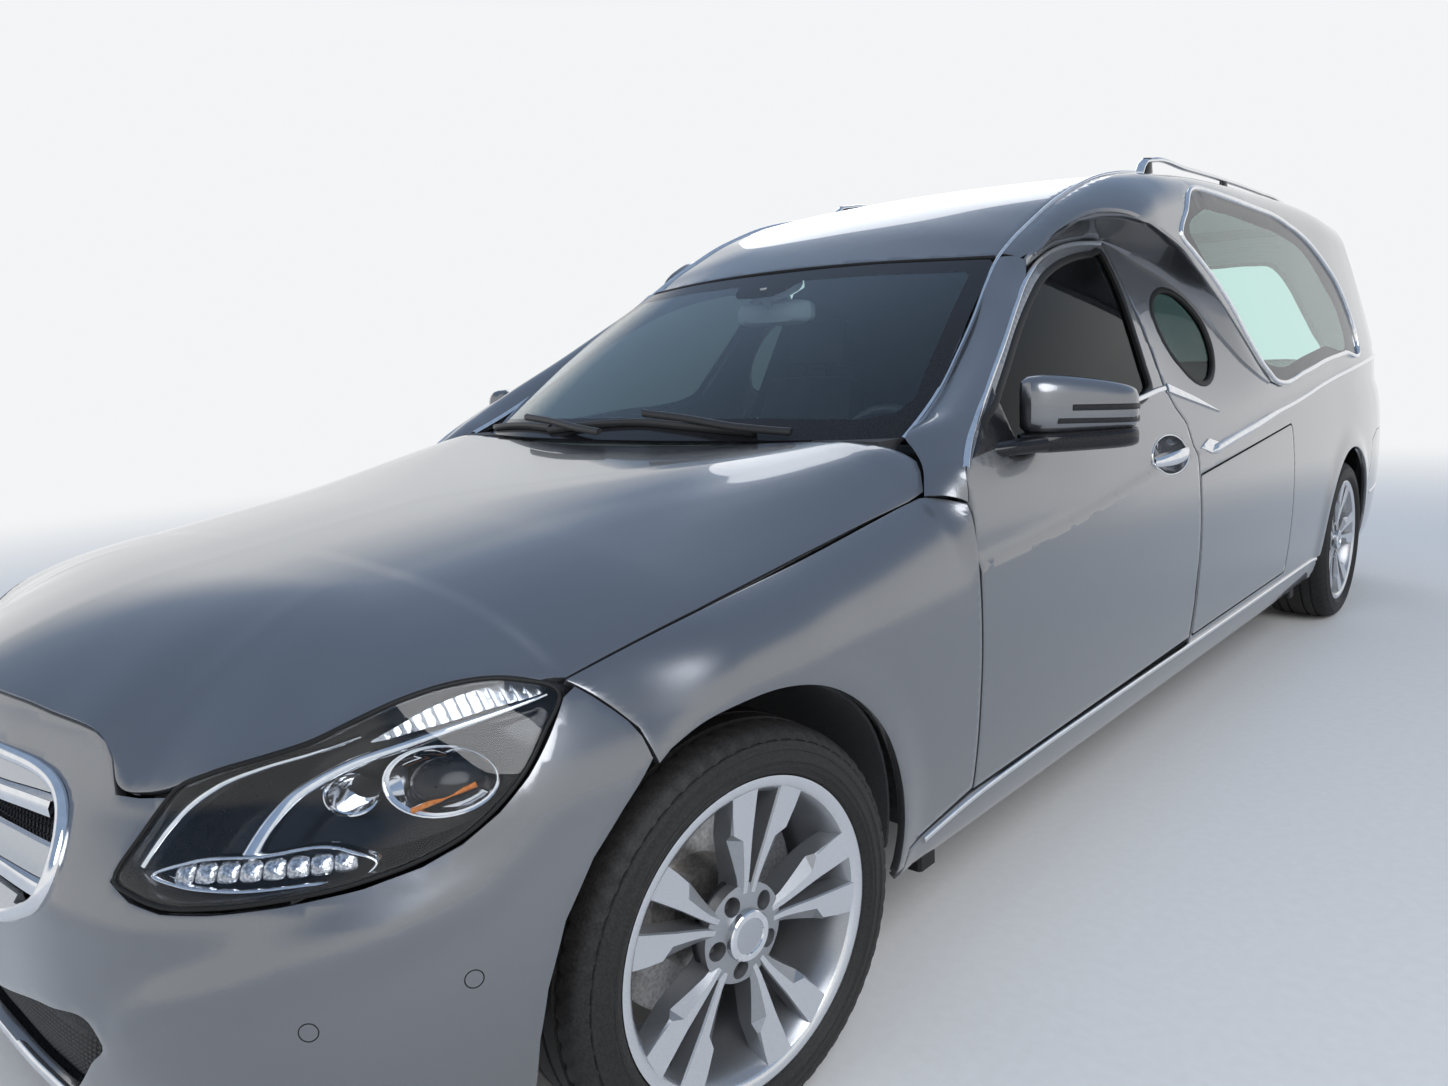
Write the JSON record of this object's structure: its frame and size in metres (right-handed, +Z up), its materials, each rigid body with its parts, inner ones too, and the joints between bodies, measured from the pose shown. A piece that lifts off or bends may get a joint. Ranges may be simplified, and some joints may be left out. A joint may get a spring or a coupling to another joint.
{
  "type": "hearse",
  "caption": "Long-wheelbase hearse with a raised glazed load body, bier deck, opening doors, side hatches, bonnet and tailgate, and steered front wheels.",
  "frame": {"origin": "on the ground under the middle of the car's length and width", "axes": "+Z up, -Y to the front, +X to the car's left"},
  "size_m": [2.08, 5.74, 1.7445],
  "materials": {
    "paint": "metallic gloss",
    "black_trim": "matte",
    "black_plastic": "grained",
    "lamp_glass": "clear",
    "red_lens": "gloss",
    "chrome_trim": "bright",
    "tinted_glass": "tinted",
    "black_leather": "satin",
    "deck_wood": "satin varnish",
    "underbody": "satin sealant",
    "cast_metal": "cast",
    "steel": "plain",
    "tyre_rubber": "matte",
    "alloy": "machined and painted"
  },
  "bodies": {
    "body": {"cowl": "black_trim", "wing_left": "paint", "wing_right": "paint", "front_bumper": "paint", "headlamps": "lamp_glass", "grille": "chrome_trim", "windscreen": "tinted_glass", "roof_panel": "paint", "sills": "paint", "side_left": "paint", "side_right": "paint", "load_glass": "tinted_glass", "tail_lamps": "red_lens", "rear_bumper": "paint", "roof_rails": "chrome_trim", "dashboard": "black_plastic", "steering_wheel": "black_leather", "seats": "black_leather", "partition": "black_plastic", "bier_deck": "deck_wood", "floor_pan": "underbody", "arch_liners": "black_trim", "engine": "cast_metal", "prop_shaft": "steel", "exhaust": "steel", "undertray": "black_plastic", "front_subframe": "steel", "rear_axle": "cast_metal"},
    "bonnet": {"bonnet": "paint"},
    "door_left": {"door_left": "paint", "door_glass_left": "tinted_glass", "mirror_left": "paint"},
    "door_right": {"door_right": "paint", "door_glass_right": "tinted_glass", "mirror_right": "paint"},
    "side_hatch_left": {"side_hatch_left": "paint"},
    "side_hatch_right": {"side_hatch_right": "paint"},
    "tailgate": {"tailgate": "paint", "tailgate_glass": "tinted_glass"},
    "knuckle_left": {"knuckle_left": "cast_metal"},
    "knuckle_right": {"knuckle_right": "cast_metal"},
    "wheel_front_left": {"front_left_tyre": "tyre_rubber", "front_left_rim": "alloy", "front_left_brake_disc": "steel"},
    "wheel_front_right": {"front_right_tyre": "tyre_rubber", "front_right_rim": "alloy", "front_right_brake_disc": "steel"},
    "wheel_rear_left": {"rear_left_tyre": "tyre_rubber", "rear_left_rim": "alloy", "rear_left_brake_disc": "steel"},
    "wheel_rear_right": {"rear_right_tyre": "tyre_rubber", "rear_right_rim": "alloy", "rear_right_brake_disc": "steel"}
  },
  "joints": [
    {"name": "steer_left", "type": "hinge", "parent": "body", "child": "knuckle_left", "pos_m": [0.7, -2.07, 0.3235], "axis": [0, 0, 1], "range_deg": [-31.87, 44.13]},
    {"name": "steer_right", "type": "hinge", "parent": "body", "child": "knuckle_right", "pos_m": [-0.7, -2.07, 0.3235], "axis": [0, 0, 1], "range_deg": [-31.87, 44.13]},
    {"name": "front_left_spin", "type": "hinge", "parent": "knuckle_left", "child": "wheel_front_left", "pos_m": [0.79446, -2.08014, 0.3235], "axis": [0.9943, -0.1068, 0], "continuous": true},
    {"name": "front_right_spin", "type": "hinge", "parent": "knuckle_right", "child": "wheel_front_right", "pos_m": [-0.79446, -2.05986, 0.3235], "axis": [0.9943, -0.1068, 0], "continuous": true},
    {"name": "rear_left_spin", "type": "hinge", "parent": "body", "child": "wheel_rear_left", "pos_m": [0.795, 1.72, 0.3235], "axis": [1, 0, 0], "continuous": true},
    {"name": "rear_right_spin", "type": "hinge", "parent": "body", "child": "wheel_rear_right", "pos_m": [-0.795, 1.72, 0.3235], "axis": [1, 0, 0], "continuous": true},
    {"name": "door_left_hinge", "type": "hinge", "parent": "body", "child": "door_left", "pos_m": [0.89, -1.38, 0.635], "axis": [0, 0, -1], "range_deg": [0, 65]},
    {"name": "door_right_hinge", "type": "hinge", "parent": "body", "child": "door_right", "pos_m": [-0.89, -1.38, 0.635], "axis": [0, 0, 1], "range_deg": [0, 65]},
    {"name": "side_hatch_left_hinge", "type": "hinge", "parent": "body", "child": "side_hatch_left", "pos_m": [0.93, -0.158, 0.6], "axis": [0, 0, -1], "range_deg": [0, 70]},
    {"name": "side_hatch_right_hinge", "type": "hinge", "parent": "body", "child": "side_hatch_right", "pos_m": [-0.93, -0.158, 0.6], "axis": [0, 0, 1], "range_deg": [0, 70]},
    {"name": "bonnet_hinge", "type": "hinge", "parent": "body", "child": "bonnet", "pos_m": [0, -1.394, 0.988], "axis": [-1, 0, 0], "range_deg": [0, 50]},
    {"name": "tailgate_hinge", "type": "hinge", "parent": "body", "child": "tailgate", "pos_m": [0, 2.233, 1.692], "axis": [1, 0, 0], "range_deg": [0, 85]}
  ],
  "couplings": [
    {"joint": "steer_right", "follows": "steer_left", "ratio": 1}
  ]
}
